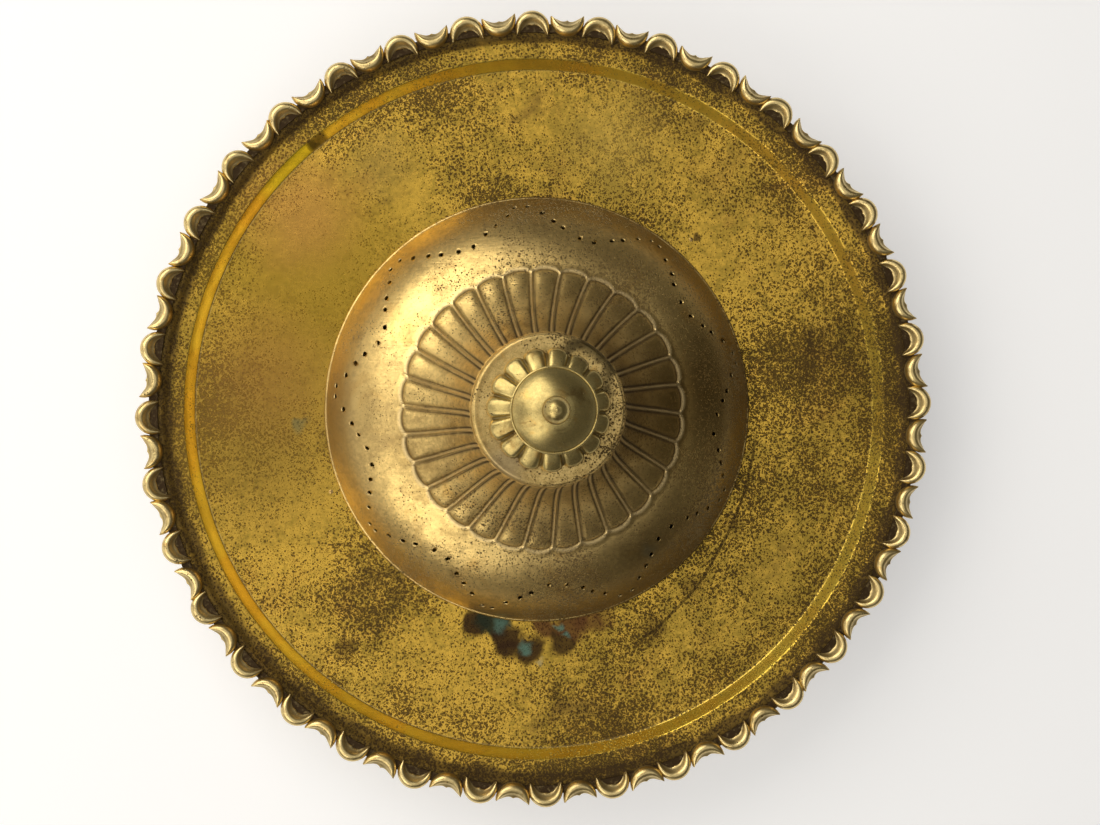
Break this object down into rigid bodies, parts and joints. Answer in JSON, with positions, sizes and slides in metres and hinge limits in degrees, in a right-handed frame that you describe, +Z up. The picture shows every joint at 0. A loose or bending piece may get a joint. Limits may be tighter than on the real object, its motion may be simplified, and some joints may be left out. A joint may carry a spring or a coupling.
{
  "type": "lidded brazier",
  "caption": "Round brass charcoal brazier: wide footed tray with a cast crescent border, lift-out ember pan and a pierced, fluted dome lid with a turned finial.",
  "frame": {"origin": "on the floor under the middle of the tray", "axes": "+Z up through the finial; +X to the right and +Y away from the viewer when the tray is seen from above"},
  "size_m": [0.5998, 0.5998, 0.2779],
  "materials": {
    "sheet_brass": "aged, pitted sheet",
    "dome_brass": "aged, stained sheet with worn raised lines",
    "cast_border": "hand-worn casting, dark in the grooves",
    "cast_finial": "turned and cast, satin",
    "cast_foot": "turned, dull",
    "rivets": "hammered",
    "hardware": "dull",
    "ember_pan": "heat-darkened sheet"
  },
  "bodies": {
    "tray_body": {"tray": "sheet_brass", "tray_plugs": "rivets", "border_segment_1": "cast_border", "border_segment_2": "cast_border", "border_segment_3": "cast_border", "border_segment_4": "cast_border", "border_segment_5": "cast_border", "border_segment_6": "cast_border", "border_segment_7": "cast_border", "border_filler": "cast_border", "border_rivets": "rivets", "foot_1": "cast_foot", "foot_2": "cast_foot", "foot_3": "cast_foot", "foot_washers": "hardware", "foot_nuts": "hardware"},
    "pan_body": {"ember_pan": "ember_pan", "pan_handle_1": "ember_pan", "pan_handle_2": "ember_pan", "pan_rivets": "rivets"},
    "lid_body": {"dome": "dome_brass", "crown_plate": "dome_brass", "rim_wire": "sheet_brass", "petal_collar": "cast_finial", "finial_neck": "cast_finial", "finial_knob": "cast_finial", "finial_tip": "cast_finial", "finial_rod": "hardware", "finial_washer": "hardware", "finial_nut": "hardware"}
  },
  "joints": [
    {"name": "pan_lift", "type": "slide", "parent": "tray_body", "child": "pan_body", "axis": [0, 0, 1], "range_m": [0, 0.09]},
    {"name": "lid_lift", "type": "slide", "parent": "pan_body", "child": "lid_body", "axis": [0, 0, 1], "range_m": [0, 0.12]}
  ]
}
